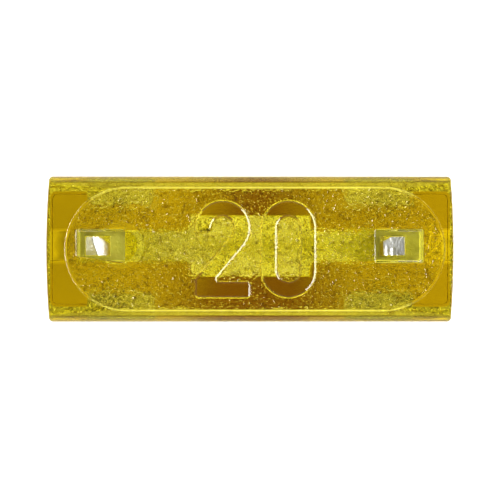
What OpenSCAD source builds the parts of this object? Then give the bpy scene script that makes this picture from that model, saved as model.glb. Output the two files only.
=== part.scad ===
// Blade fuse of the small 10.9 mm size: a clear moulded housing pushed over
// a stamped element, which is both blades and the link in one piece.
// X runs along the width, Y along the thickness, and +Z points to the head.
// Z = 0 is the underside of the housing, where the blades come out.

/* [Housing] */
// Width of the head over its bowed ends
body_w = 10.9; // [10.8:0.05:11.1]
// Height from the underside to the top of the head
body_h = 8.9; // [8.6:0.1:9.2]
// Height of the head above its overhang
head_h = 2.6; // [2.3:0.1:2.9]
// Thickness of the head
head_t = 3.9; // [3.75:0.05:4]
// Thickness of the head's flat top, between its rounded long edges
head_top_t = 3.5; // [3.45:0.05:3.7]
// How far each end of the head bows out
end_bow = 0.08; // [0.04:0.01:0.12]
// Thickness of the middle under the head
core_t = 3.3; // [3.15:0.05:3.35]
// Width of the thick middle under the head
core_w = 5.1; // [4.8:0.1:5.3]
// Width of each end post under the head
post_w = 1; // [0.9:0.05:1.1]
// Thickness of the end posts
post_t = 3.1; // [3:0.05:3.15]
// Thickness of the thin wings between the middle and the posts
wing_t = 2.34; // [2.2:0.02:2.5]
// How far the outside of the housing sits off the middle of its cavity
core_shift = 0.08; // [0:0.01:0.1]

/* [Top of the head] */
// Length of the sunk field, over its round ends
field_w = 10.2; // [10:0.05:10.3]
// Breadth of the sunk field
field_t = 3.36; // [3.2:0.02:3.4]
// Depth of the sunk field
field_depth = 0.2; // [0.15:0.01:0.25]
// How far the field sits to the right of the head's middle
field_shift = 0.13; // [0:0.01:0.15]
// Height of the figures
figure_h = 2.58; // [2.4:0.02:2.7]
// Width of each figure
figure_w = 1.46; // [1.4:0.02:1.5]
// Width of the strokes of the figures
stroke = 0.41; // [0.36:0.01:0.44]
// How far the figures stand above the sunk field
figure_rise = 0.18; // [0.12:0.01:0.2]
// Length of each tester window
window_w = 1.3; // [1.2:0.05:1.35]
// Breadth of each tester window
window_t = 0.9; // [0.85:0.01:0.95]
// How far the window beside the gate runs out of square
window_skew = 0.18; // [0:0.02:0.22]
// Radius of the gate mark
gate_r = 0.62; // [0.55:0.01:0.65]

/* [Cavity] */
// Length of the slot for the metal
slot_w = 9.3; // [9.26:0.01:9.34]
// Thickness of the slot for the metal
slot_t = 1; // [0.95:0.01:1.05]
// Width of the chamber round the link
chamber_w = 3.3; // [3.2:0.05:3.4]
// Thickness of the chamber round the link
chamber_t = 1.68; // [1.6:0.02:1.8]
// Thickness of the plastic over the slot, under the sunk field
roof_t = 1.4; // [1.2:0.05:1.5]

/* [Element] */
// Distance over the outer edges of the two blades
blade_span = 10.9; // [10.8:0.05:10.9]
// Width of each blade
blade_w = 2.8; // [2.7:0.05:2.8]
// Thickness of the blades
blade_t = 0.8; // [0.76:0.01:0.82]
// Length of the blades below the housing
blade_l = 7.4; // [7:0.1:7.8]
// Width of the strip that the link is cut to
link_w = 0.62; // [0.5:0.02:0.66]
// Thickness of the link, which is pressed thinner than the blades
link_t = 0.46; // [0.3:0.02:0.6]
// Width of the tester tabs
tab_w = 0.68; // [0.6:0.02:0.7]
// Thickness of the tester tabs, which are pressed thinner than the blades
tab_t = 0.54; // [0.48:0.02:0.54]
// Distance of the tester tab beside the gate from the middle
gate_tab_x = 4.09; // [4.05:0.01:4.12]
// Distance of the other tester tab from the middle
far_tab_x = 3.83; // [3.78:0.01:4.12]

/* [Hidden] */
arc_steps = 6;                       // sides in a rounded corner
bow_steps = 10;                      // sides in a bowed end
figure_steps = 14;                   // sides in a half turn of a figure
over = 1;                            // how far a cutter runs past a face
bite = 0.05;                         // how far joined solids run into each other
ledge_z = body_h - head_h;           // height of the overhang
field_z = body_h - field_depth;      // height of the sunk field's floor
roof_z = field_z - roof_t;           // height of the slot's roof
lower_w = body_w - 2 * end_bow;      // width under the head
lower_draft = 0.06;                  // how far the long lower walls lean in, top to bottom
edge_r = (head_t - head_top_t) / 2;  // rounding of the head's long top edges
plan_r = 0.1;                        // rounding of the head's upright corners
post_r = 0.15;                       // rounding of the end posts' outer corners
step_r = 0.08;                       // rounding of the steps between core, wings and posts
wing_x = core_w / 2;                 // where a wing begins
post_x = lower_w / 2 - post_w;       // where an end post begins
figure_x = field_shift + 0.02;       // middle of the pair of figures
figure_gap = 0.3;                    // space between the figures
window_x = slot_w / 2 - window_w / 2;// middle of a tester window
gate_x = -3.45;                      // middle of the gate mark
gate_y = 0.1;
gate_rise = 0.1;                     // height of the gate mark
gate_top_r = gate_r * 2 / 3;         // radius of its flat top
play = 0.05;                         // clearance of the metal in the slot
stalk_x = slot_w / 2 - play;         // outer edge of the metal inside the housing
inner_x = blade_span / 2 - blade_w;  // inner edge of a blade
blade_top = roof_z - 1.2;            // top of the wide metal inside the housing
tab_top = field_z - 0.8;             // top of the tester tabs
stake_x = (stalk_x + inner_x) / 2;   // middle of a stake
stake_z = 3.2;
stake_r = 0.4;                       // radius of the pressed-in plastic
stake_hole_r = 0.5;                  // radius of the hole in the metal
stake_gap = 0.24;                    // space left between the two ends of a stake
dimple_r = 0.45;                     // radius of the press mark on a wing
dimple_depth = 0.14;
tip_l = 1;                           // length of a blade's sloping tip
tip_slant = 0.45;                    // how far the outer corner of a tip is cut back
tip_t = blade_t / 2;                 // thickness at the end of the tip
tab_r = 0.06;                        // rounding of the tester tabs' top corners
cut_r = 0.1;                         // rounding of the end of a blade's tip
shoulder_r = 0.7;                    // rounding of a blade's shoulder
shoulder_z = -0.3;                   // height of that shoulder, clear of the housing
turn_r = 0.4;                        // rounding where a blade's tip begins
top_r = 0.15;                        // rounding of the wide metal's top corners
link_z = [2.2, 3.8, 5.4];            // heights of the link's three runs
link_turn = 1.25;                    // half width over the link's turns, to mid strip

function unit(v) = v / norm(v);
function arc(centre, r, from, to, steps) =
    [for (i = [0:steps]) centre + r * [cos(from + (to - from) * i / steps),
                                       sin(from + (to - from) * i / steps)]];

// One corner of an outline, as an arc of radius p[2] between its neighbours
function corner(a, p, b) =
    let (at = [p[0], p[1]],
         u = unit([a[0], a[1]] - at),
         v = unit([b[0], b[1]] - at),
         half = acos(u * v) / 2,
         centre = at + unit(u + v) * p[2] / sin(half),
         first = at + u * p[2] / tan(half) - centre,
         last = at + v * p[2] / tan(half) - centre,
         from = atan2(first[1], first[0]),
         swing = atan2(last[1], last[0]) - from,
         turn = swing > 180 ? swing - 360 : swing < -180 ? swing + 360 : swing)
    p[2] == 0 ? [at] : arc(centre, p[2], from, from + turn, arc_steps);

// An outline from a list of [x, y, radius] corners
function rounded(points) =
    let (n = len(points))
    [for (i = [0:n - 1])
        each corner(points[(i + n - 1) % n], points[i], points[(i + 1) % n])];

// The same corners on the other side of the Y axis, in the order that closes the outline
function both_sides(points) =
    concat(points, [for (i = [len(points) - 1:-1:0]) [-points[i][0], points[i][1], points[i][2]]]);

// Extrudes an outline drawn in X and Z along Y, centred on Y = 0
module plate(points, thickness) {
    rotate([90, 0, 0])
        translate([0, 0, -thickness / 2])
            linear_extrude(thickness)
                polygon(points);
}

// Extrudes an outline drawn in Y and Z along X, centred on X = 0
module beam(points, width) {
    rotate([90, 0, 90])
        translate([0, 0, -width / 2])
            linear_extrude(width)
                polygon(points);
}

// The right end of the head's outline from above, bowed out on an arc
function bowed_end() =
    let (half_t = head_t / 2,
         bow_r = (half_t * half_t + end_bow * end_bow) / (2 * end_bow),
         reach = asin((half_t - 2 * plan_r) / bow_r))
    [for (p = arc([body_w / 2 - bow_r, 0], bow_r, -reach, reach, bow_steps)) [p[0], p[1], 0]];

module head() {
    half_t = head_t / 2;
    corner_x = body_w / 2 - end_bow;
    end = concat([[corner_x, -half_t, plan_r]], bowed_end(), [[corner_x, half_t, plan_r]]);
    top = body_h - edge_r;
    intersection() {
        translate([0, 0, ledge_z])
            linear_extrude(head_h)
                polygon(rounded(both_sides(end)));
        beam(concat([[-half_t, ledge_z], [half_t, ledge_z]],
                    arc([head_top_t / 2, top], edge_r, 0, 90, arc_steps),
                    arc([-head_top_t / 2, top], edge_r, 90, 180, arc_steps)), body_w + over);
    }
}

// The middle, the wings and the end posts, in one outline from above
module lower_body() {
    half_t = core_t / 2;
    half_post = post_t / 2;
    half_w = lower_w / 2;
    thin = wing_t / 2;
    right = [[wing_x, -half_t, step_r], [wing_x, -thin, step_r],
             [post_x, -thin, step_r], [post_x, -half_post, step_r],
             [half_w, -half_post, post_r], [half_w, half_post, post_r],
             [post_x, half_post, step_r], [post_x, thin, step_r],
             [wing_x, thin, step_r], [wing_x, half_t, step_r]];
    intersection() {
        linear_extrude(ledge_z + bite)
            polygon(rounded(both_sides(right)));
        beam([[-half_t + lower_draft, 0], [half_t - lower_draft, 0],
              [half_t, ledge_z + bite], [-half_t, ledge_z + bite]], body_w);
    }
}

// The sunk field: straight sides and round ends
module field() {
    r = field_t / 2;
    run = field_w / 2 - r;
    translate([field_shift, 0, field_z])
        linear_extrude(field_depth + over)
            polygon(concat(arc([run, 0], r, -90, 90, 2 * figure_steps),
                           arc([-run, 0], r, 90, 270, 2 * figure_steps)));
}

module figure_two() {
    outer = figure_w / 2;
    inner = outer - stroke;
    bowl = [0, figure_h / 2 - outer];
    start = 190;                     // where the hook begins
    leave = -40;                     // where the hook runs into the slope
    slope = [sin(leave), -cos(leave)];
    bar_top = -figure_h / 2 + stroke;
    out_at = bowl + outer * [cos(leave), sin(leave)];
    in_at = bowl + inner * [cos(leave), sin(leave)];
    out_end = out_at + slope * (bar_top - out_at[1]) / slope[1];
    in_end = in_at + slope * (-outer - in_at[0]) / slope[0];
    polygon(concat(arc(bowl, outer, start, leave, figure_steps),
                   [out_end, [outer, bar_top], [outer, -figure_h / 2],
                    [-outer, -figure_h / 2], in_end],
                   arc(bowl, inner, leave, start, figure_steps)));
}

function pill(w, h) =
    let (r = w / 2, run = h / 2 - r)
    concat(arc([0, run], r, 0, 180, figure_steps), arc([0, -run], r, 180, 360, figure_steps));

module figure_zero() {
    difference() {
        polygon(pill(figure_w, figure_h));
        polygon(pill(figure_w - 2 * stroke, figure_h - 2 * stroke));
    }
}

module figures() {
    apart = (figure_w + figure_gap) / 2;
    translate([figure_x, 0, field_z - bite])
        linear_extrude(figure_rise + bite) {
            translate([-apart, 0]) figure_two();
            translate([apart, 0]) figure_zero();
        }
}

module gate_mark() {
    translate([gate_x, gate_y, field_z - bite])
        cylinder(h = bite, r = gate_r, $fn = 48);
    translate([gate_x, gate_y, field_z])
        cylinder(h = gate_rise, r1 = gate_r, r2 = gate_top_r, $fn = 48);
}

// A tester window, from the slot's roof to above the field
module window(skew) {
    w = window_w / 2;
    t = window_t / 2;
    translate([0, 0, roof_z - bite])
        linear_extrude(field_depth + roof_t + over)
            polygon([[-w, -t + skew], [w, -t], [w, t], [-w, t]]);
}

module cavity() {
    translate([-slot_w / 2, -slot_t / 2, -over])
        cube([slot_w, slot_t, roof_z + over]);
    translate([-chamber_w / 2, -chamber_t / 2, -over])
        cube([chamber_w, chamber_t, roof_z + over]);
    translate([window_x, 0, 0]) window(0);
    translate([-window_x, 0, 0]) window(window_skew);
}

// One stake, seen from its press mark: the plastic pushed into the metal's hole
module stake() {
    length = (slot_t - stake_gap) / 2 + bite;
    rotate([90, 0, 0])
        translate([0, 0, stake_gap / 2])
            cylinder(h = length, r = stake_r, $fn = 32);
}

module press_mark() {
    rotate([90, 0, 0])
        translate([0, 0, wing_t / 2 - dimple_depth])
            cylinder(h = dimple_depth + over, r = dimple_r, $fn = 32);
}

module at_stakes() {
    for (side = [-1, 1], face = [0, 180])
        translate([side * stake_x, 0, stake_z])
            rotate([0, 0, face])
                children();
}

// The housing's outside, solid
module shell() {
    difference() {
        union() {
            head();
            lower_body();
        }
        field();
    }
    figures();
    gate_mark();
}

module housing() {
    color([0.82, 0.68, 0.07, 0.6]) {
        difference() {
            translate([0, -core_shift, 0]) shell();
            cavity();
            translate([0, -core_shift, 0]) at_stakes() press_mark();
        }
        at_stakes() stake();
    }
}

// The right-hand metal: blade, shoulder and the part inside the housing
module blade() {
    outer = blade_span / 2;
    half_t = blade_t / 2;
    outline = rounded([[inner_x + tip_slant / 2, -blade_l, cut_r], [outer - tip_slant, -blade_l, cut_r],
                       [outer, -blade_l + 2 * tip_slant, turn_r], [outer, shoulder_z, shoulder_r],
                       [stalk_x, shoulder_z, 0], [stalk_x, blade_top, top_r],
                       [inner_x, blade_top, top_r], [inner_x, -blade_l + 1.5 * tip_slant, turn_r]]);
    intersection() {
        plate(outline, blade_t);
        beam([[-tip_t / 2, -blade_l], [tip_t / 2, -blade_l], [half_t, -blade_l + tip_l],
              [half_t, blade_top], [-half_t, blade_top], [-half_t, -blade_l + tip_l]],
             3 * blade_span);
    }
}

// The narrow tab that stands up from the wide metal into a window
module tester_tab(middle) {
    side = tab_w / 2;
    plate(rounded([[middle - side, blade_top - bite, 0], [middle + side, blade_top - bite, 0],
                   [middle + side, tab_top, tab_r], [middle - side, tab_top, tab_r]]), tab_t);
}

// The link: three runs and two turns, from low in the left metal to high in the right
module link() {
    h = link_w / 2;
    low = link_z[0];
    mid = link_z[1];
    high = link_z[2];
    turn = link_turn + h;
    inside = link_turn - h;
    root = inner_x + bite;
    big = (mid - low + link_w) / 2;  // radius of a turn's outer edge
    small = (mid - low - link_w) / 2;
    mirror([1, 0, 0])
        plate(rounded([[-root, high + h, 0], [turn, high + h, big],
                       [turn, mid - h, big], [-inside, mid - h, small],
                       [-inside, low + h, small], [root, low + h, 0],
                       [root, low - h, 0], [-turn, low - h, big],
                       [-turn, mid + h, big], [inside, mid + h, small],
                       [inside, high - h, small], [-root, high - h, 0]]), link_t);
}

module element() {
    color([0.74, 0.75, 0.76]) {
        link();
        tester_tab(far_tab_x);
        tester_tab(-gate_tab_x);
        for (side = [0, 1])
            mirror([side, 0, 0])
                difference() {
                    blade();
                    translate([stake_x, 0, stake_z])
                        rotate([90, 0, 0])
                            translate([0, 0, -blade_t])
                                cylinder(h = 2 * blade_t, r = stake_hole_r, $fn = 32);
                }
    }
}

housing();
element();
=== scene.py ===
import bpy
import bmesh
import math
import numpy as np
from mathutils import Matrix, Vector


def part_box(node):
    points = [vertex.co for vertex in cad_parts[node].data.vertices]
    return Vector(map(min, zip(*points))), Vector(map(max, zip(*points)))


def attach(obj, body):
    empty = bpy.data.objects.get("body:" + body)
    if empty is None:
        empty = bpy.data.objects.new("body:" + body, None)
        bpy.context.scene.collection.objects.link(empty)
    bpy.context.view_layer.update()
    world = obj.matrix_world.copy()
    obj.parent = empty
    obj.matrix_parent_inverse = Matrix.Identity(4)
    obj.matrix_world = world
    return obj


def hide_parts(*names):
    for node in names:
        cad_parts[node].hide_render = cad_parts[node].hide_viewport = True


mm = 0.001                                       # the object's sizes are in millimetres
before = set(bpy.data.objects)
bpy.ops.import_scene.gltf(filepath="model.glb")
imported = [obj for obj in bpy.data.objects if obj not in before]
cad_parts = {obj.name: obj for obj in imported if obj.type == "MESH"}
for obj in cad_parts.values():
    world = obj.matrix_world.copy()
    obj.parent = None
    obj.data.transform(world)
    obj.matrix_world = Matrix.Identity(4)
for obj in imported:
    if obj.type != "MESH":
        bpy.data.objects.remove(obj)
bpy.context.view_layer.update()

scene = bpy.context.scene
housingLow, housingHigh = [c / mm for c in map(Vector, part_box("housing"))]
elementLow, elementHigh = [c / mm for c in map(Vector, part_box("element"))]
midY = (housingLow.y + housingHigh.y) / 2        # the outside sits a little off the slot's middle


def arc(centre, r, start, end, steps):
    a = np.radians(np.linspace(start, end, steps + 1))
    return np.stack([centre[0] + r * np.cos(a), centre[1] + r * np.sin(a)], 1)


def rounded(corners, steps=6):
    # corners are (x, y, radius), the outline gets an arc at each
    points = []
    for i, (x, y, r) in enumerate(corners):
        at = np.array([x, y])
        u = np.array(corners[i - 1][:2]) - at
        v = np.array(corners[(i + 1) % len(corners)][:2]) - at
        u, v = u / np.linalg.norm(u), v / np.linalg.norm(v)
        if r <= 0:
            points.append(at[None])
            continue
        half = math.acos(np.clip(u @ v, -1, 1)) / 2
        centre = at + (u + v) / np.linalg.norm(u + v) * r / math.sin(half)
        first = at + u * r / math.tan(half) - centre
        last = at + v * r / math.tan(half) - centre
        begin = math.degrees(math.atan2(first[1], first[0]))
        turn = (math.degrees(math.atan2(last[1], last[0])) - begin + 180) % 360 - 180
        points.append(arc(centre, r, begin, begin + turn, steps))
    return np.concatenate(points)


def mirrored(corners):
    return corners + [(-x, y, r) for x, y, r in reversed(corners)]


def normalsOf(loop):
    # outward unit normals of a closed outline that runs anticlockwise
    along = np.roll(loop, -1, 0) - np.roll(loop, 1, 0)
    out = np.stack([along[:, 1], -along[:, 0]], 1)
    return out / np.linalg.norm(out, axis=1, keepdims=True)


def ease(t):
    t = np.clip(t, 0, 1)
    return t * t * (3 - 2 * t)


def splitLargeFaces(mesh):
    # faces of many sides come out of the cuts badly filled, so they go in as triangles
    bm = bmesh.new()
    bm.from_mesh(mesh)
    large = [face for face in bm.faces if len(face.verts) > 4]
    bmesh.ops.triangulate(bm, faces=large, ngon_method="BEAUTY")
    bm.to_mesh(mesh)
    bm.free()


def meshObject(name, points, faces):
    mesh = bpy.data.meshes.new(name)
    mesh.from_pydata((np.asarray(points) * mm).tolist(), [], faces)
    mesh.validate()
    splitLargeFaces(mesh)
    ob = bpy.data.objects.new(name, mesh)
    scene.collection.objects.link(ob)
    return ob


def loft(name, rings):
    # rings are (n, 3) arrays of equal length, joined one after another and capped
    n = len(rings[0])
    faces = []
    for k in range(len(rings) - 1):
        low, high = k * n, (k + 1) * n
        faces += [(low + i, low + (i + 1) % n, high + (i + 1) % n, high + i) for i in range(n)]
    faces.append(tuple(range(n - 1, -1, -1)))
    faces.append(tuple(range((len(rings) - 1) * n, len(rings) * n)))
    return meshObject(name, np.concatenate(rings), faces)


def standing(loop, z):
    return np.column_stack([loop, np.full(len(loop), z)])


def gridSolid(name, x, y, z, ringsOf):
    # a closed solid: a grid for its top, then rings down from the grid's outline
    nx, ny = x.shape
    points = [np.stack([x, y, z], -1).reshape(-1, 3)]
    index = np.arange(nx * ny).reshape(nx, ny)
    faces = [(index[i, j], index[i + 1, j], index[i + 1, j + 1], index[i, j + 1])
             for i in range(nx - 1) for j in range(ny - 1)]
    edge = np.concatenate([index[:-1, 0], index[-1, :-1], index[:0:-1, -1], index[0, :0:-1]])
    n, last, start = len(edge), edge, nx * ny
    for ring in ringsOf(points[0][edge]):
        points.append(ring)
        new = np.arange(start, start + n)
        faces += [(last[i], new[i], new[(i + 1) % n], last[(i + 1) % n]) for i in range(n)]
        last, start = new, start + n
    faces.append(tuple(last[::-1]))
    return meshObject(name, np.concatenate(points), [tuple(int(k) for k in f) for f in faces])


def combine(target, others, operation):
    for other in others:
        cut = target.modifiers.new(operation.lower(), "BOOLEAN")
        cut.operation, cut.object, cut.solver = operation, other, "MANIFOLD"
        settle(target)
        bpy.data.objects.remove(other)


def settle(ob):
    # applies the modifiers by keeping the evaluated mesh
    graph = bpy.context.evaluated_depsgraph_get()
    graph.update()
    mesh = bpy.data.meshes.new_from_object(ob.evaluated_get(graph))
    old = ob.data
    ob.modifiers.clear()
    ob.data = mesh
    bpy.data.meshes.remove(old)


def readAll(items, name, width, kind=float):
    values = np.empty(len(items) * width, kind)
    items.foreach_get(name, values)
    return values.reshape(-1, width) if width > 1 else values


def smoothShade(ob, sharpAngle):
    # corner normals averaged by area, where a face that lies square to an axis keeps its own
    mesh = ob.data
    vertexOf = readAll(mesh.loops, "vertex_index", 1, int)
    sizes = readAll(mesh.polygons, "loop_total", 1, int)
    faceNormals = readAll(mesh.polygons, "normal", 3)
    areas = readAll(mesh.polygons, "area", 1)
    flat = np.abs(faceNormals).max(1) > 0.99999
    faceOf = np.repeat(np.arange(len(sizes)), sizes)
    order = np.argsort(vertexOf, kind="stable")
    faces, total = faceOf[order], np.bincount(vertexOf, minlength=len(mesh.vertices))
    first = np.cumsum(total) - total
    place = np.arange(len(order)) - first[vertexOf[order]]
    reach = total[vertexOf[order]]
    weights = areas * np.where(flat, 1e5, 1)
    soft = math.cos(math.radians(sharpAngle))
    summed = np.zeros((len(order), 3))
    for step in range(int(total.max())):
        live = np.nonzero(reach > step)[0]
        mate = faces[first[vertexOf[order[live]]] + (place[live] + step) % reach[live]]
        own = faces[live]
        near = (faceNormals[own] * faceNormals[mate]).sum(1) > soft
        summed[live] += faceNormals[mate] * (weights[mate] * near)[:, None]
    summed = np.where(flat[faces][:, None], faceNormals[faces], summed)
    summed /= np.linalg.norm(summed, axis=1, keepdims=True)
    corners = np.empty_like(summed)
    corners[order] = summed
    for face in mesh.polygons:
        face.use_smooth = True
    mesh.normals_split_custom_set(corners.tolist())


moulding = {
    "head": {
        "halfWidth": (housingHigh.x - housingLow.x) / 2,
        "topHalf": 1.75,          # half the thickness of the flat top
        "lowHalf": (housingHigh.y - housingLow.y) / 2,
        "height": 2.6,
        "bow": 0.08,              # how far the ends bow out
        "cornerRadius": 0.12,
        "rim": 0.03,              # rounding of the top edge at the ends
        "lip": 0.04,              # rounding of the lower edge
        "roof": 1.4,              # plastic between the field and the slot
    },
    "field": {
        "shift": 0.13,            # how far its middle is off the head's
        "halfLength": 5.1,
        "halfBreadth": 1.68,
        "depth": 0.2,
        "lean": 0.005,            # how far its wall leans out and in
        "foot": 0.055,            # breadth of the shallow slope at the foot of that wall
        "footRise": 0.0145,
        "footInset": 0.014,
    },
    "figures": {
        "middle": 0.15,
        "gap": 0.3,
        "width": 1.46,
        "height": 2.58,
        "stroke": 0.41,
        "rise": 0.18,
        "bowl": (-40, 190),       # degrees over which the 2 is round
        "corner": 0.09,
        "tightCorner": 0.06,      # at the end of its hook
    },
    "bevel": {"width": 0.038, "drop": 0.012, "wall": 0.035},    # edges of the figures
    "windows": {"halfLength": 0.65, "halfBreadth": 0.45, "skew": 0.18, "middle": 4.0, "corner": 0.06},
    "gate": {"x": -3.45, "y": 0.1, "radius": 0.62, "topRadius": 0.43, "rise": 0.04},
    "under": {
        "core": 1.65,             # half the thickness of the middle
        "post": 1.55,             # half the thickness of the end posts
        "wing": 1.17,             # half the thickness of the wings
        "coreX": 2.55,            # where the wings begin
        "postX": 4.37,            # where the end posts begin
        "halfWidth": 5.37,
        "draft": 0.06,            # how far the long walls lean in
        "edge": 0.015,
        "step": 0.08,             # rounding of the steps between them
        "corner": 0.15,           # rounding of the posts' outer corners
    },
    "slot": {
        "halfWidth": 4.65,
        "half": 0.5,
        "chamberHalfWidth": 1.65,
        "chamberHalf": 0.9,
        "draft": 0.07,
        "narrowing": 0.09,        # at the mouth, to hold the blades
        "corner": 0.1,
        "chamberCorner": 0.14,
        "roofRound": 0.06,
    },
    "stakes": {"x": 3.625, "z": 3.2, "radius": 0.4, "gap": 0.24, "markRadius": 0.45, "markDepth": 0.14,
               "bevel": 0.06, "holeRadius": 0.5},
    # how rough the sunk field, the slot's roof, the slot's walls and the overhang are, and how strongly
    # their painted glints and painted shade show
    "finishAndPaint": {
        "grain": [0.7, 2.0, 0.4, 2.2],
        "haze": [0.35, 2.0, 1.0, 1.0],
        "speckle": [0.8, 1.0, 1.0, 1.0],
        "coarse": [0, 0, 0, 1],
    },
    "softAngle": 16.5,            # degrees between faces that shade as one
}
head, field, figures, bevel = (moulding[name] for name in ("head", "field", "figures", "bevel"))
windows, gate, under = (moulding[name] for name in ("windows", "gate", "under"))
slot, stakes, finishAndPaint = (moulding[name] for name in ("slot", "stakes", "finishAndPaint"))
quarterTurn = np.radians([0, 30, 60, 90])
topZ = housingHigh.z
ledgeZ = topZ - head["height"]
floorZ = topZ - field["depth"]
roofZ = floorZ - head["roof"]


def pill(w, h, steps=36):
    r = w / 2
    run = h / 2 - r
    return np.concatenate([arc((0, run), r, 0, 180, steps), arc((0, -run), r, 180, 360, steps)])


def fieldLoop():
    upright = pill(2 * field["halfBreadth"], 2 * field["halfLength"], 60)
    return np.column_stack([upright[:, 1], -upright[:, 0]]) + (field["shift"], 0)


def twoLoop():
    outer = figures["width"] / 2
    inner = outer - figures["stroke"]
    tall = figures["height"] / 2
    bowl = np.array([0, tall - outer])
    start, end = figures["bowl"]
    leave = math.radians(start)
    out = np.array([math.cos(leave), math.sin(leave)])
    slope = np.array([math.sin(leave), -math.cos(leave)])
    barTop = figures["stroke"] - tall
    outAt, inAt = bowl + outer * out, bowl + inner * out
    outEnd = outAt + slope * (barTop - outAt[1]) / slope[1]
    inEnd = inAt + slope * (-outer - inAt[0]) / slope[0]
    hook = arc(bowl, outer, start, end, 46)
    cup = arc(bowl, inner, end, start, 34)
    r, tight = figures["corner"], figures["tightCorner"]
    corners = [(*cup[-1], 0), (*inEnd, 0.07), (-outer, -tall, r), (outer, -tall, r), (outer, barTop, r),
               (*outEnd, 0.08), (*hook[0], 0)]
    corners += [(*p, 0) for p in hook[1:-1]]
    corners += [(*hook[-1], tight), (*cup[0], tight)]
    return np.concatenate([rounded(corners), cup[1:-1]])


def windowLoop(side):
    # the window beside the gate runs out of square at its lower edge
    w, t = windows["halfLength"], windows["halfBreadth"]
    skew = windows["skew"] if side < 0 else 0
    x, r = side * windows["middle"], windows["corner"]
    return rounded([(x - w, -t + skew, r), (x + w, -t, r), (x + w, t, r), (x - w, t, r)])


def headSolid():
    # the long edges turn over on a wide round and the ends on a tight one
    x, y, r = head["halfWidth"] - head["bow"], head["lowHalf"], head["cornerRadius"]
    bowed = [(x + head["bow"] * (1 - v * v), v * y, 0) for v in np.linspace(-1, 1, 13)[1:-1] * 0.9]
    wide = rounded(mirrored([(x, -y, r)] + bowed + [(x, y, r)]), 8)
    out = normalsOf(wide)
    across = head["lowHalf"] - head["topHalf"]
    inset = out * (head["rim"], across)
    drop = head["rim"] + (across - head["rim"]) * out[:, 1] ** 2
    rings = [standing(wide - out * head["lip"] * (1 - math.sin(turn)),
                      ledgeZ + head["lip"] * (1 - math.cos(turn))) for turn in quarterTurn]
    for turn in np.radians([0, 8, 16, 24, 32, 40, 48, 56, 64, 72, 81, 90]):
        heights = topZ - drop * (1 - math.sin(turn))
        rings.append(np.column_stack([wide - inset * (1 - math.cos(turn)), heights]))
    return loft("head", rings)


def profiled(name, loop, profile):
    # profile is (how far outside the outline, height), from low to high
    out = normalsOf(loop)
    return loft(name, [standing(loop + out * offset, z) for offset, z in profile])


def fieldCutter():
    # a shallow slope runs round the foot of its wall
    inset, lean = field["footInset"], field["lean"]
    profile = [(-inset - field["foot"], floorZ), (-inset, floorZ + field["footRise"]),
               (-lean, topZ - lean), (lean, topZ + lean)]
    return profiled("field", fieldLoop(), profile)


def figureSolids():
    b = bevel
    top = floorZ + figures["rise"]
    raised = [(b["wall"] + 0.004, floorZ - 0.03), (b["wall"], floorZ), (0, top - b["drop"]),
              (-b["width"], top)]
    sunk = [(-b["wall"], floorZ - 0.1), (-b["wall"], floorZ), (0, top - b["drop"]),
            (2 * b["width"], top + b["drop"])]
    apart = (figures["width"] + figures["gap"]) / 2
    w, h, stroke = figures["width"], figures["height"], figures["stroke"]
    two = profiled("two", twoLoop() + (figures["middle"] - apart, 0), raised)
    zero = profiled("zero", pill(w, h) + (figures["middle"] + apart, 0), raised)
    hole = pill(w - 2 * stroke, h - 2 * stroke) + (figures["middle"] + apart, 0)
    combine(zero, [profiled("hole", hole, sunk)], "DIFFERENCE")
    return [two, zero]


def gateSolid():
    r, top, rise = gate["radius"], gate["topRadius"], gate["rise"]
    profile = [(0.03, floorZ - 0.03), (0, floorZ), (top - r, floorZ + rise)]
    return profiled("gate", circle((gate["x"], gate["y"]), r, 72), profile)


def lowerSolid():
    c, p, w, g = under["core"], under["post"], under["wing"], under["edge"]
    coreX, postX, endX = under["coreX"], under["postX"], under["halfWidth"]
    r, corner = under["step"], under["corner"]
    right = [(coreX, -c, r), (coreX, -w, r), (postX, -w, r), (postX, -p, r), (endX, -p, corner),
             (endX, p, corner), (postX, p, r), (postX, w, r), (coreX, w, r), (coreX, c, r)]
    loop = rounded(mirrored(right))
    out = normalsOf(loop)
    height = ledgeZ + 0.05
    rings = []
    lean = np.array([1, 1 - under["draft"] / c])
    for turn in quarterTurn:
        rings.append(standing(loop * lean - out * g * (1 - math.sin(turn)), g * (1 - math.cos(turn))))
    rings.append(standing(loop, height))
    return loft("lower", rings)


def slotSolid():
    a, b, c, d = slot["halfWidth"], slot["half"], slot["chamberHalfWidth"], slot["chamberHalf"]
    r, wide, top = slot["corner"], slot["chamberCorner"], slot["roofRound"]
    right = [(c, -d, r), (c, -b, wide), (a, -b, r), (a, b, r), (c, b, wide), (c, d, r)]
    loop = rounded(mirrored(right), 4)
    out = normalsOf(loop)
    mouth = loop - out * (0, slot["narrowing"])
    rings = [standing(mouth + out * 0.1, -1), standing(mouth + out * 0.08, -0.02), standing(mouth, 0.06),
             standing(mouth, 0.4), standing(loop, 0.8)]
    lean = out * (0.3 * slot["draft"], slot["draft"])       # the long walls lean in more than the ends
    for turn in quarterTurn:
        inset = lean + out * top * (1 - math.cos(turn))
        rings.append(standing(loop - inset, roofZ - top * (1 - math.sin(turn))))
    return loft("slot", rings)


def windowSolid(side):
    b = bevel
    lip = 0.4 * b["width"]
    profile = [(-0.02, roofZ - 0.2), (0, floorZ - 0.4 * b["drop"]), (lip, floorZ), (lip + 0.01, topZ + 0.1)]
    return profiled("window", windowLoop(side), profile)


def circle(centre, r, sides):
    return arc(centre, r, 0, 360 * (sides - 1) / sides, sides - 1)


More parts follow.
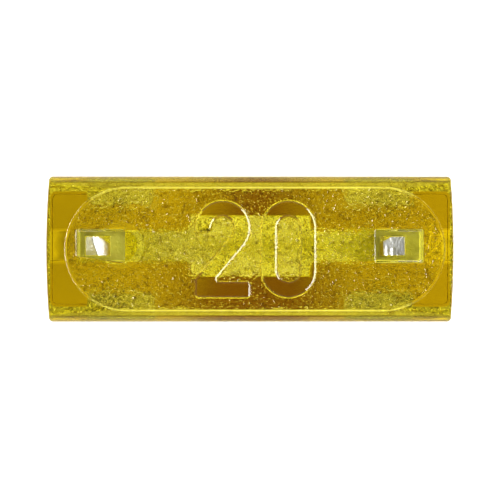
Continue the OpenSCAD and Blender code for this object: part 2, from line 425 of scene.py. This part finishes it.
def roundSolid(name, radius, start, end, x, side):
    # a round bar along Y, its first end bevelled
    loop = circle((0, 0), 1, 40)
    bite = stakes["bevel"]
    rings = []
    for y, r in ((start, radius - bite), (start + 0.3 * bite, radius - 0.3 * bite),
                 (start + bite, radius), (end, radius)):
        rings.append(np.column_stack([x + loop[:, 0] * r, np.full(len(loop), -side * y),
                                      stakes["z"] + loop[:, 1] * r]))
    ob = loft(name, rings)
    if side < 0:
        ob.data.flip_normals()
    return ob


def buildHousing():
    body = headSolid()
    combine(body, [lowerSolid()], "UNION")
    combine(body, [fieldCutter()], "DIFFERENCE")
    combine(body, figureSolids() + [gateSolid()], "UNION")
    for vertex in body.data.vertices:
        vertex.co.y += midY * mm
    combine(body, [slotSolid(), windowSolid(-1), windowSolid(1)], "DIFFERENCE")
    splitLargeFaces(body.data)
    wing = under["wing"]
    for x in (-stakes["x"], stakes["x"]):
        for side in (-1, 1):
            face = wing - side * midY
            mark = roundSolid("mark", stakes["markRadius"], face - stakes["markDepth"], face + 0.5, x, side)
            combine(body, [mark], "DIFFERENCE")
            stake = roundSolid("stake", stakes["radius"], stakes["gap"] / 2, slot["half"] + 0.08, x, side)
            combine(body, [stake], "UNION")
    splitLargeFaces(body.data)
    return body


housing = buildHousing()
housing.name = "clearHousing"
smoothShade(housing, moulding["softAngle"])


def writeMarks(mesh, values, sizes):
    # one number a face, kept at its corners for the material to read
    for name, value in values.items():
        attribute = mesh.attributes.new(name, "FLOAT", "CORNER")
        attribute.data.foreach_set("value", np.repeat(value, sizes))


def markFinishAndPaint(ob):
    # grain, haze, speckle and coarse say how rough a face is and how strongly its painted glints and shade
    # show, and the others say where painted light and shade go:
    # the underside gets painted shade, and inner, the slot's walls, which the light crosses more than once,
    # gets painted light
    mesh = ob.data
    sizes = readAll(mesh.polygons, "loop_total", 1, int)
    normals = readAll(mesh.polygons, "normal", 3)
    x, y, z = (readAll(mesh.polygons, "center", 3) / mm).T
    across, up = abs(y - midY), normals[:, 2]
    down, level = up < -0.7, up > 0.99
    hair = 0.003                                            # as good as at the same height
    inSlot = (abs(y) < slot["chamberHalf"] + 0.02) & (abs(x) < slot["halfWidth"] + 0.05)
    inSlot &= (z < roofZ + 0.01) & (z > 0.05)
    roof = down & inSlot & (abs(z - roofZ) < 0.03)
    ledge = down & (abs(z - ledgeZ) < 0.03)
    sunk = level & (abs(z - floorZ) < hair)
    turned = (up > 0.01) & (across > head["topHalf"] - 0.09) & (z > floorZ + 0.05)
    edge = turned & (up < 0.93)
    rim = turned & (up > 0.93)
    wall = (up > 0.02) & (up < 0.93) & (z > floorZ - 0.02) & (across < field["halfBreadth"] + 0.04)
    wall |= (up > 0.02) & (up < 0.97) & (abs(z - floorZ - 0.01) < 0.006)
    wall &= ~sunk & (abs(x) < field["halfLength"] + field["shift"] + 0.04)
    onGate = np.hypot(x - gate["x"], y - gate["y"] - midY) < gate["radius"] + 0.01
    gateTop = floorZ + gate["rise"]
    ring = onGate & (up > 0.9) & (z > floorZ + hair) & (z < gateTop - hair)
    places = [sunk, roof, inSlot, ledge]
    values = {
        "ring": ring * 1.0,
        "grain": np.select(places, finishAndPaint["grain"], 0.0),
        "speckle": np.select(places, finishAndPaint["speckle"], 0.0),
        "wall": wall * 1.0,
        "haze": np.select(places, finishAndPaint["haze"], 0.0) + 2.0 * (edge | rim),
        "coarse": np.select(places, finishAndPaint["coarse"], 0.0),
        "gateTopLight": (onGate & level & (abs(z - gateTop) < hair)) * 1.0,
        "edge": edge * 1.0,
        "rim": rim * 1.0,
        "field": sunk * 1.0,
        "deep": (down & (z < 0.1)) * 1.0,
        "inner": inSlot * 1.0,
    }
    writeMarks(mesh, values, sizes)


markFinishAndPaint(housing)
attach(housing, "root")
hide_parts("housing")
print("housing built,", sum(len(p.vertices) - 2 for p in housing.data.polygons), "triangles")


element = {
    "outerX": elementHigh.x,
    "bladeWidth": 2.8,
    "thickness": elementHigh.y - elementLow.y,
    "stalkX": 4.6,            # outer edge inside the housing
    "shoulderZ": -0.3,
    "shoulder": 0.7,          # rounding of the shoulder
    "topZ": roofZ - 1.2,
    "tipSlant": 0.45,
    "tipLength": 1.0,
    "tabWidth": 0.68,
    "tabThickness": 0.54,
    "tabTop": elementHigh.z,
    "tabInset": 0.02,         # how far the torn top stands inside the tab's walls
    "tabs": [
        {"middle": 3.83, "start": 3, "lean": 0, "back": 0.004, "corner": -1, "ridges": 0.008, "edge": 0.15},
        {"middle": -4.09, "start": -0.2, "lean": 0.12, "back": 0.09, "corner": 1, "ridges": 0, "edge": 0},
    ],
    "linkWidth": 0.62,
    "linkThickness": 0.46,
    "linkRuns": (2.2, 3.8, 5.4),
    "linkTurn": 1.25,
    "roll": 0.05,             # rounding left by the press on the near side
    "linkRoll": 0.04,
    "softAngle": 40,
}


def stamped(name, loop, thickness, roll):
    # a sheet part: rolled edge on the near side, sharp burr on the far side
    out = normalsOf(loop)
    rings = []
    half = thickness / 2
    for turn in np.radians([0, 22, 45, 68, 90]):
        edge = loop - out * roll * (1 - math.sin(turn))
        rings.append(np.column_stack([edge[:, 0], np.full(len(edge), -half + roll * (1 - math.cos(turn))),
                                      edge[:, 1]]))
    for y, inset in ((half - 0.02, 0), (half, 0.015)):
        edge = loop - out * inset
        rings.append(np.column_stack([edge[:, 0], np.full(len(edge), y), edge[:, 1]]))
    return loft(name, rings)


def bladeSolid(side):
    e = element
    bottom = elementLow.z
    inner = e["outerX"] - e["bladeWidth"]
    slant = e["tipSlant"]
    corners = [(inner + slant / 2, bottom, 0.1), (e["outerX"] - slant, bottom, 0.2),
               (e["outerX"], bottom + 2 * slant, 0.4), (e["outerX"], e["shoulderZ"], e["shoulder"]),
               (e["stalkX"], e["shoulderZ"], 0.05), (e["stalkX"], e["topZ"], 0.04),
               (inner, e["topZ"], 0.15), (inner, bottom + 1.5 * slant, 0.4)]
    if side < 0:
        corners = [(-x, z, r) for x, z, r in reversed(corners)]
    ob = stamped("blade", rounded(corners), e["thickness"], e["roll"])
    bm = bmesh.new()
    bm.from_mesh(ob.data)
    for k in range(6):                             # rows of points for the tip to thin along
        cut = bottom + e["tipLength"] * (k + 0.5) / 5
        geometry = bm.verts[:] + bm.edges[:] + bm.faces[:]
        bmesh.ops.bisect_plane(bm, geom=geometry, plane_co=(0, 0, cut * mm), plane_no=(0, 0, 1), dist=1e-9)
    for vertex in bm.verts:
        below = (bottom + e["tipLength"] - vertex.co.z / mm) / e["tipLength"]
        if below > 0:
            vertex.co.y *= 1 - 0.5 * below ** 1.25
    bm.to_mesh(ob.data)
    bm.free()
    return ob


def tabSolid(tab):
    # sheared top: it leans to the right past start and back before it, with one far corner broken off
    e = element
    u, v = np.meshgrid(np.linspace(-1, 1, 29), np.linspace(-1, 1, 23), indexing="ij")
    rng = np.random.default_rng(7)
    rough = rng.normal(size=u.shape)
    rough = (rough + np.roll(rough, 1, 0) + np.roll(rough, 1, 1) + np.roll(rough, (1, 1), (0, 1))) / 4
    over = u - tab["start"] + 0.25 * v
    z = e["tabTop"] - 0.03 - tab["lean"] * np.clip(over, 0, 1.4) + tab["back"] * np.clip(over, -4, 0)
    z -= 0.003 * (1.5 + rough)
    z -= tab["ridges"] * (1 + np.sin(13 * u + 1)) * ease(0.2 - 1.2 * v) * ease(0.7 - u)
    z -= 0.3 * ease((tab["corner"] * u * 0.8 + v - 1.15) / 0.35)
    z -= tab["edge"] * ease((-u - 0.8) / 0.2)
    side, half = e["tabWidth"] / 2, e["tabThickness"] / 2
    topSide, topHalf = side - e["tabInset"], half - e["tabInset"]
    x, y = tab["middle"] + u * topSide, v * topHalf

    def rings(edge):
        centre = np.array([tab["middle"], 0])
        wall = centre + (edge[:, :2] - centre) * (side / topSide, half / topHalf)
        return [np.column_stack([wall, edge[:, 2] - 0.03]), standing(wall, e["topZ"] - 0.1)]

    return gridSolid("tab", x, y, z, rings)


def linkSolid():
    e = element
    low, mid, high = e["linkRuns"]
    h = e["linkWidth"] / 2
    turn, inside = e["linkTurn"] + h, e["linkTurn"] - h
    root = e["outerX"] - e["bladeWidth"] + 0.05
    big, small = (mid - low) / 2 + h, (mid - low) / 2 - h
    corners = [(-root, high + h, 0), (turn, high + h, big), (turn, mid - h, big),
               (-inside, mid - h, small), (-inside, low + h, small), (root, low + h, 0),
               (root, low - h, 0), (-turn, low - h, big), (-turn, mid + h, big),
               (inside, mid + h, small), (inside, high - h, small), (-root, high - h, 0)]
    turned = rounded(corners, 14) * (-1, 1)         # low at the left, high at the right
    return stamped("link", turned, e["linkThickness"], e["linkRoll"])


def buildElement():
    body = bladeSolid(1)
    combine(body, [bladeSolid(-1), linkSolid()] + [tabSolid(tab) for tab in element["tabs"]], "UNION")
    for x in (-stakes["x"], stakes["x"]):
        loop = circle((x, stakes["z"]), stakes["holeRadius"], 40)
        rings = [np.column_stack([loop[:, 0], np.full(len(loop), y), loop[:, 1]]) for y in (-0.6, 0.6)]
        combine(body, [loft("hole", rings)], "DIFFERENCE")
    splitLargeFaces(body.data)
    return body


def markSheared(ob):
    # the cut edges are rougher than the rolled faces of the strip
    mesh = ob.data
    sizes = readAll(mesh.polygons, "loop_total", 1, int)
    normals = readAll(mesh.polygons, "normal", 3)
    sheared = ease((0.8 - abs(normals[:, 1])) / 0.4)
    z = readAll(mesh.polygons, "center", 3)[:, 2] / mm
    onTab = (z > element["topZ"] + 0.1) * 1.0
    writeMarks(mesh, {"sheared": sheared, "onTab": onTab}, sizes)


metal = buildElement()
metal.name = "stampedElement"
smoothShade(metal, element["softAngle"])
markSheared(metal)
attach(metal, "root")
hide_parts("element")
print("element built,", sum(len(p.vertices) - 2 for p in metal.data.polygons), "triangles")


def newMaterial(name):
    material = bpy.data.materials.new(name)
    material.use_nodes = True
    material.node_tree.nodes.clear()
    return material, material.node_tree.nodes, material.node_tree.links


def node(nodes, kind, **settings):
    made = nodes.new(kind)
    for name, value in settings.items():
        if name in made.inputs:
            made.inputs[name].default_value = value
        else:
            setattr(made, name, value)
    return made


plastic = {
    "colour": (0.62, 0.56, 0.0105, 1),
    "glintColour": (0.9, 0.85, 0.06, 1),     # painted highlights on the points of the grain
    "pitShadeColour": (0.16, 0.1, 0.002, 1),    # painted shade in its pits
    "deepPitShadeColour": (0.03, 0.035, 0.01, 1),   # painted shade in the deepest pits, under the overhang
    "gateTopLightColour": (1.0, 0.88, 0.012, 1),   # painted light where the gate was cut off
    "ringColour": (1.0, 1.0, 0.3, 1),       # painted light on the slope round it
    "edgeColour": (0.9, 1.0, 0.006, 1),   # painted light on the rounded long edges
    "rimColour": (0.5, 0.44, 0.02, 1),      # painted shade on the flat beside them
    "fieldColour": (0.66, 0.6, 0.028, 1),   # the sunk field
    "wornAndLit": ((0.48, 0.45, 0.03, 1),         # painted shade on the same over the slot, at its left end and painted light at its right
             (1, 0.97, 0.04, 1)),           # and at its right
    "ledgeColour": (0.27, 0.25, 0.05, 1),   # the overhang's underside, where least painted shade falls
    "ledgeShadeColour": (0.085, 0.08, 0.025, 1),  # painted shade on the same, near and to the right
    "brinkLightColour": (0.44, 0.42, 0.06, 1),    # painted light on the same, along its outer edges
    "sparkColour": (1.0, 0.98, 0.5, 1),     # painted glints on the highest points
    "wallColour": (1.0, 0.97, 0.2, 1),      # painted light on the low walls of the field and the figures
    "innerColour": (1.0, 0.98, 0.42, 1),    # painted light on the slot's walls
    "underShadeColour": (0.5, 0.39, 0.003, 1),   # painted shade on the underside
    "overBladeLightColour": (1, 0.85, 0.02, 1),  # painted light on the same, over the shoulders of the blades
    "deepColour": (0.06, 0.019, 0.001, 1),  # and painted shadow in the middle
    "shadowMiddle": 0.2,                      # where that is
    "shadowReach": (0.4, 4.6),                # millimetres from there to where it fades out
    "shadowSides": (0.3, 0.56),               # what is left of it at either end
    "glow": (0.855, 0.735, 0.02, 1),        # what the depth of plastic lets through
    "density": 260.0,
    "ior": 1.58,
    "polish": 0.01,
    "haze": 0.09,
    "grainSize": 6.0,                       # pits in a millimetre
    "grainDepth": 0.00005,                  # metres
    "sparkRange": (0.62, 0.67),             # of the fine grain, where the highest points begin
    "paleRange": (0.53, 0.66),
    "deepPitRange": (0.4, 0.53),
    "pitRange": (0.32, 0.47),               # of the wider grain
    "calmX": (2.4, 3.6),                    # where the overhang begins to coarsen towards the ends
}


def mixColour(nodes, links, share, first, second):
    # either colour may be a constant or another node's output
    mix = node(nodes, "ShaderNodeMix", data_type="RGBA")
    for slotNumber, value in ((6, first), (7, second)):
        if isinstance(value, tuple):
            mix.inputs[slotNumber].default_value = value
        else:
            links.new(value, mix.inputs[slotNumber])
    links.new(share, mix.inputs[0])
    return mix.outputs[2]


def mapRange(nodes, links, value, fromLow, fromHigh, toLow, toHigh, smooth=False):
    made = node(nodes, "ShaderNodeMapRange", interpolation_type="SMOOTHSTEP" if smooth else "LINEAR")
    ends = {"From Min": fromLow, "From Max": fromHigh, "To Min": toLow, "To Max": toHigh}
    for name, number in ends.items():
        made.inputs[name].default_value = number
    links.new(value, made.inputs["Value"])
    return made.outputs[0]


def calculate(nodes, links, operation, *values):
    made = node(nodes, "ShaderNodeMath", operation=operation)
    for i, value in enumerate(values):
        if isinstance(value, (int, float)):
            made.inputs[i].default_value = value
        else:
            links.new(value, made.inputs[i])
    return made.outputs[0]


def clearYellow():
    material, nodes, links = newMaterial("clearYellowPlastic")
    place = node(nodes, "ShaderNodeTexCoord")
    scaled = node(nodes, "ShaderNodeMapping")
    scaled.inputs["Scale"].default_value = (1000, 1000, 1000)
    links.new(place.outputs["Object"], scaled.inputs["Vector"])
    size = plastic["grainSize"]
    pits = node(nodes, "ShaderNodeTexNoise", Scale=size, Detail=2.0, Roughness=0.6)
    fine = node(nodes, "ShaderNodeTexNoise", Scale=size * 2.3, Detail=1.0)
    flow = node(nodes, "ShaderNodeTexNoise", Scale=0.7, Detail=2.0)
    for texture in (pits, fine, flow):
        links.new(scaled.outputs[0], texture.inputs["Vector"])
    marks = {}
    for name in ("grain", "haze", "speckle", "coarse", "field", "deep", "inner", "gateTopLight", "ring", "rim",
                 "edge", "wall"):
        marks[name] = node(nodes, "ShaderNodeAttribute", attribute_name=name).outputs["Fac"]

    spark = mapRange(nodes, links, fine.outputs[0], *plastic["sparkRange"], 0, 1)
    height = calculate(nodes, links, "MULTIPLY_ADD", fine.outputs[0], 0.3, pits.outputs[0])
    height = calculate(nodes, links, "MULTIPLY_ADD", spark, 1.6, height)
    parts = node(nodes, "ShaderNodeSeparateXYZ")
    links.new(scaled.outputs[0], parts.inputs[0])
    away = calculate(nodes, links, "ABSOLUTE", parts.outputs["X"])
    outer = mapRange(nodes, links, away, *plastic["calmX"], 0, 1)

    # the overhang is smoother towards the middle
    calmer = calculate(nodes, links, "SUBTRACT", 1.0, outer)
    calmer = calculate(nodes, links, "MULTIPLY", calmer, marks["coarse"])
    calmer = calculate(nodes, links, "MULTIPLY_ADD", calmer, -0.7, 1.0)
    depth = calculate(nodes, links, "MULTIPLY", marks["grain"], calmer)
    height = calculate(nodes, links, "MULTIPLY", height, depth)
    height = calculate(nodes, links, "MULTIPLY_ADD", flow.outputs[0], 0.05, height)
    bump = node(nodes, "ShaderNodeBump", Strength=1.0, Distance=plastic["grainDepth"])
    links.new(height, bump.inputs["Height"])
    haze = calculate(nodes, links, "MULTIPLY", marks["haze"], plastic["haze"])
    rough = calculate(nodes, links, "ADD", haze, plastic["polish"])

    # painted highlights on the grain's points and painted shade in its pits
    wornAndLit = calculate(nodes, links, "MULTIPLY", marks["speckle"], calmer)
    tint = mixColour(nodes, links, flow.outputs[0], plastic["colour"],
                     tuple(c * k for c, k in zip(plastic["colour"], (0.94, 0.91, 0.8, 1))))
    pale = mapRange(nodes, links, fine.outputs[0], *plastic["paleRange"], 0, 1)

    # painted shade: the corners over the overhang are the coarsest and painted darkest, near and to the
    # right most of all
    shade = calculate(nodes, links, "MULTIPLY", parts.outputs["X"], 0.1)
    shade = calculate(nodes, links, "MULTIPLY_ADD", parts.outputs["Y"], -0.35, shade)
    shade = mapRange(nodes, links, shade, -0.8, 0.8, 0, 1)
    ledge = mixColour(nodes, links, shade, plastic["ledgeColour"], plastic["ledgeShadeColour"])
    across = calculate(nodes, links, "SUBTRACT", parts.outputs["Y"], midY)
    across = calculate(nodes, links, "ABSOLUTE", across)
    brink = mapRange(nodes, links, across, 1.66, 1.74, 0, 1)
    ledge = mixColour(nodes, links, brink, ledge, plastic["brinkLightColour"])
    tint = mixColour(nodes, links, calculate(nodes, links, "MULTIPLY", marks["coarse"], 0.85), tint, ledge)
    # painted shade over the slot at its left end and painted light at its right
    near = calculate(nodes, links, "ABSOLUTE", parts.outputs["Y"])
    overSlot = calculate(nodes, links, "MULTIPLY", mapRange(nodes, links, near, 0.4, 0.55, 1, 0),
                         mapRange(nodes, links, away, 0.9, 1.9, 0, 1))
    along = mapRange(nodes, links, parts.outputs["X"], -1.7, 1.7, 0, 1)
    skin = mixColour(nodes, links, overSlot, plastic["fieldColour"],
                     mixColour(nodes, links, along, *plastic["wornAndLit"]))
    tint = mixColour(nodes, links, marks["field"], tint, skin)
    tint = mixColour(nodes, links, calculate(nodes, links, "MULTIPLY", pale, wornAndLit), tint,
                     plastic["glintColour"])
    pitShade = mapRange(nodes, links, pits.outputs[0], *plastic["pitRange"], 1, 0)
    tint = mixColour(nodes, links, calculate(nodes, links, "MULTIPLY", pitShade, wornAndLit), tint,
                     plastic["pitShadeColour"])
    # painted shade in the deepest pits, towards the ends and at the corners, near and to the right most of
    # all
    deepPitShade = mapRange(nodes, links, fine.outputs[0], *plastic["deepPitRange"], 1, 0)
    deepPitShade = calculate(nodes, links, "MULTIPLY", deepPitShade, outer)
    patchy = mapRange(nodes, links, flow.outputs[0], 0.4, 0.6, 0.3, 1)
    deepPitShade = calculate(nodes, links, "MULTIPLY", deepPitShade, patchy)
    corner = mapRange(nodes, links, across, 1.1, 1.25, 0, 1)
    corner = calculate(nodes, links, "MULTIPLY_ADD", corner, marks["field"], marks["coarse"])
    corner = calculate(nodes, links, "MULTIPLY", corner, mapRange(nodes, links, shade, 0, 1, 0.4, 1))
    tint = mixColour(nodes, links, calculate(nodes, links, "MULTIPLY", deepPitShade, corner), tint,
                     plastic["deepPitShadeColour"])
    # painted glints on the highest points of the grain
    sparkle = calculate(nodes, links, "MINIMUM", marks["grain"], 1.0)
    sparkle = calculate(nodes, links, "MULTIPLY", spark, sparkle)
    tint = mixColour(nodes, links, sparkle, tint, plastic["sparkColour"])
    # painted light on the slot's walls, the gate's top, the slope round it, the rounded long edges and the
    # low walls, and painted shade on the flat beside the edges
    for name in ("inner", "gateTopLight", "ring", "rim", "edge", "wall"):
        tint = mixColour(nodes, links, marks[name], tint, plastic[name + "Colour"])
    # painted shade on the underside, darkest in the middle and fading towards the ends, and painted light
    # over the blades' shoulders
    low, high = plastic["shadowReach"]
    aside = calculate(nodes, links, "SUBTRACT", parts.outputs["X"], plastic["shadowMiddle"])
    aside = calculate(nodes, links, "MULTIPLY_ADD", parts.outputs["Y"], 0.35,
                      calculate(nodes, links, "ABSOLUTE", aside))
    middle = mapRange(nodes, links, aside, low, high, 1, 0, smooth=True)
    sides = mapRange(nodes, links, parts.outputs["X"], -4, 4, *plastic["shadowSides"])
    middle = calculate(nodes, links, "MAXIMUM", middle, sides)
    below = mixColour(nodes, links, middle, plastic["underShadeColour"], plastic["deepColour"])
    blade = calculate(nodes, links, "MULTIPLY", mapRange(nodes, links, near, 0.35, 0.5, 1, 0),
                      mapRange(nodes, links, away, 4.6, 4.9, 0, 1))
    below = mixColour(nodes, links, blade, below, plastic["overBladeLightColour"])
    tint = mixColour(nodes, links, marks["deep"], tint, below)

    shader = node(nodes, "ShaderNodeBsdfPrincipled", IOR=plastic["ior"])
    shader.inputs["Transmission Weight"].default_value = 1.0
    links.new(tint, shader.inputs["Base Color"])
    links.new(rough, shader.inputs["Roughness"])
    links.new(bump.outputs[0], shader.inputs["Normal"])
    inside = node(nodes, "ShaderNodeVolumeAbsorption", Color=plastic["glow"],
                  Density=plastic["density"])
    out = node(nodes, "ShaderNodeOutputMaterial")
    links.new(shader.outputs[0], out.inputs["Surface"])
    links.new(inside.outputs[0], out.inputs["Volume"])
    return material


zinc = {
    "colour": (0.88, 0.89, 0.88, 1),
    "dull": (0.62, 0.62, 0.61, 1),
    "blade": (0.31, 0.314, 0.32, 1),         # painted shade: the blades, greyed below the housing
    "bladeDull": (0.25, 0.252, 0.255, 1),
    "bright": 0.16,
    "wornAndLit": 0.34,
    "shearedRoughness": 0.45,
    "tabRoughness": 0.38,
    "shearedDepth": 1.1,      # how deep the grain of its cut edges is against the strip's skin
}


def platedZinc():
    material, nodes, links = newMaterial("platedZinc")
    place = node(nodes, "ShaderNodeTexCoord")
    scaled = node(nodes, "ShaderNodeMapping")
    scaled.inputs["Scale"].default_value = (1000, 1000, 1000)
    links.new(place.outputs["Object"], scaled.inputs["Vector"])
    lines = node(nodes, "ShaderNodeMapping")
    lines.inputs["Scale"].default_value = (14000, 14000, 900)
    links.new(place.outputs["Object"], lines.inputs["Vector"])
    streaks = node(nodes, "ShaderNodeTexNoise", Scale=1.0, Detail=3.0)
    links.new(lines.outputs[0], streaks.inputs["Vector"])
    clouds = node(nodes, "ShaderNodeTexNoise", Scale=2.2, Detail=4.0)
    specks = node(nodes, "ShaderNodeTexNoise", Scale=16.0, Detail=2.0)
    for texture in (clouds, specks):
        links.new(scaled.outputs[0], texture.inputs["Vector"])
    sheared = node(nodes, "ShaderNodeAttribute", attribute_name="sheared").outputs["Fac"]
    tint = mixColour(nodes, links, mapRange(nodes, links, clouds.outputs[0], 0.35, 0.7, 0, 1),
                     zinc["colour"], zinc["dull"])
    parts = node(nodes, "ShaderNodeSeparateXYZ")
    links.new(scaled.outputs[0], parts.inputs[0])
    # painted shade: the blades turn grey below the housing, their cut edges only further down
    lifted = calculate(nodes, links, "MULTIPLY_ADD", sheared, 0.9, parts.outputs["Z"])
    shadedBelow = mapRange(nodes, links, lifted, -0.25, -0.75, 0, 1, smooth=True)
    grey = mixColour(nodes, links, mapRange(nodes, links, clouds.outputs[0], 0.35, 0.7, 0, 1),
                     zinc["blade"], zinc["bladeDull"])
    tint = mixColour(nodes, links, shadedBelow, tint, grey)
    rough = mapRange(nodes, links, clouds.outputs[0], 0.3, 0.7, zinc["bright"], zinc["wornAndLit"])
    rest = calculate(nodes, links, "MULTIPLY_ADD", sheared, -1.0, 1.0)
    rough = calculate(nodes, links, "MULTIPLY", rough, rest)
    onTab = node(nodes, "ShaderNodeAttribute", attribute_name="onTab").outputs["Fac"]
    cut = mapRange(nodes, links, onTab, 0, 1, zinc["shearedRoughness"], zinc["tabRoughness"])
    rough = calculate(nodes, links, "MULTIPLY_ADD", sheared, cut, rough)
    height = calculate(nodes, links, "ADD", streaks.outputs[0], specks.outputs[0])
    deeper = calculate(nodes, links, "MULTIPLY_ADD", sheared, zinc["shearedDepth"] - 1, 1.0)
    height = calculate(nodes, links, "MULTIPLY", height, deeper)
    bump = node(nodes, "ShaderNodeBump", Strength=0.6, Distance=0.00001)
    links.new(height, bump.inputs["Height"])
    shader = node(nodes, "ShaderNodeBsdfPrincipled", Metallic=1.0)
    links.new(tint, shader.inputs["Base Color"])
    links.new(rough, shader.inputs["Roughness"])
    links.new(bump.outputs[0], shader.inputs["Normal"])
    out = node(nodes, "ShaderNodeOutputMaterial")
    links.new(shader.outputs[0], out.inputs["Surface"])
    return material


housing.data.materials.clear()
housing.data.materials.append(clearYellow())
metal.data.materials.clear()
metal.data.materials.append(platedZinc())
print("materials set")


# in metres, where no note says millimetres
studio = {
    "floorColour": (0.86, 0.86, 0.85, 1),
    "floorGlow": 0.62,        # a floor lit from beneath too
    "floorSize": 4.0,
    "sky": 1.0,
    "skyEdge": (0.72, 0.9),   # heights on a unit ball: the tent's white ends, and its open top begins
    "keyPower": 1.66,
    "keyPlace": (0.19, -0.005, 0.28),
    "keySize": (0.4, 0.11),
    "cameraDistance": 0.35,
    "cameraShift": -0.025,    # millimetres from the head's middle
    "frameWidth": 13.37,      # millimetres across the view, at the top of the head
}


def paleFloor():
    material, nodes, links = newMaterial("paleFloor")
    place = node(nodes, "ShaderNodeTexCoord")
    cloth = node(nodes, "ShaderNodeTexNoise", Scale=60.0, Detail=2.0)
    links.new(place.outputs["Object"], cloth.inputs["Vector"])
    tint = node(nodes, "ShaderNodeMix", data_type="RGBA")
    tint.inputs[6].default_value = studio["floorColour"]
    tint.inputs[7].default_value = tuple(c * 0.985 for c in studio["floorColour"][:3]) + (1,)
    links.new(cloth.outputs[0], tint.inputs[0])
    bump = node(nodes, "ShaderNodeBump", Strength=0.1, Distance=0.0002)
    links.new(cloth.outputs[0], bump.inputs["Height"])
    shader = node(nodes, "ShaderNodeBsdfPrincipled", Roughness=0.8)
    shader.inputs["Emission Color"].default_value = studio["floorColour"]
    shader.inputs["Emission Strength"].default_value = studio["floorGlow"]
    links.new(tint.outputs[2], shader.inputs["Base Color"])
    links.new(bump.outputs[0], shader.inputs["Normal"])
    out = node(nodes, "ShaderNodeOutputMaterial")
    links.new(shader.outputs[0], out.inputs["Surface"])
    return material


def buildFloor():
    half = studio["floorSize"] / 2 / mm
    z = elementLow.z
    ob = meshObject("floor", [(-half, -half, z), (half, -half, z), (half, half, z), (-half, half, z)],
                    [(0, 1, 2, 3)])
    ob.data.materials.append(paleFloor())


def buildSky():
    # a light tent: white all round, open and dark where the camera looks in
    world = bpy.data.worlds.new("lightTent")
    scene.world = world
    world.use_nodes = True
    nodes, links = world.node_tree.nodes, world.node_tree.links
    nodes.clear()
    place = node(nodes, "ShaderNodeTexCoord")
    parts = node(nodes, "ShaderNodeSeparateXYZ")
    links.new(place.outputs["Generated"], parts.inputs[0])
    ramp = node(nodes, "ShaderNodeValToRGB")
    ramp.color_ramp.elements[0].position = studio["skyEdge"][0]
    ramp.color_ramp.elements[0].color = (1, 1, 1, 1)
    ramp.color_ramp.elements[1].position = studio["skyEdge"][1]
    ramp.color_ramp.elements[1].color = (0.03, 0.03, 0.03, 1)
    links.new(parts.outputs["Z"], ramp.inputs[0])
    sky = node(nodes, "ShaderNodeBackground", Strength=studio["sky"])
    links.new(ramp.outputs[0], sky.inputs["Color"])
    out = node(nodes, "ShaderNodeOutputWorld")
    links.new(sky.outputs[0], out.inputs["Surface"])


def areaLight(name, place, size, power):
    light = bpy.data.lights.new(name, "AREA")
    light.shape = "RECTANGLE"
    light.size, light.size_y = size
    light.energy = power
    ob = bpy.data.objects.new(name, light)
    scene.collection.objects.link(ob)
    ob.location = place
    ob.rotation_euler = (-Vector(place)).to_track_quat("-Z", "Y").to_euler()
    ob.visible_camera = False


def buildCamera():
    data = bpy.data.cameras.new("camera")
    data.sensor_width = 36
    data.lens = 36 * studio["cameraDistance"] / (studio["frameWidth"] * mm)
    data.clip_start, data.clip_end = 0.005, 10
    ob = bpy.data.objects.new("camera", data)
    scene.collection.objects.link(ob)
    ob.location = (0, (midY + studio["cameraShift"]) * mm, topZ * mm + studio["cameraDistance"])
    scene.camera = ob


buildFloor()
buildSky()
areaLight("rightBox", studio["keyPlace"], studio["keySize"], studio["keyPower"])
buildCamera()
scene.view_settings.view_transform = "Standard"
scene.cycles.max_bounces = 24
scene.cycles.transmission_bounces = 20
scene.cycles.glossy_bounces = 8
print("studio set")
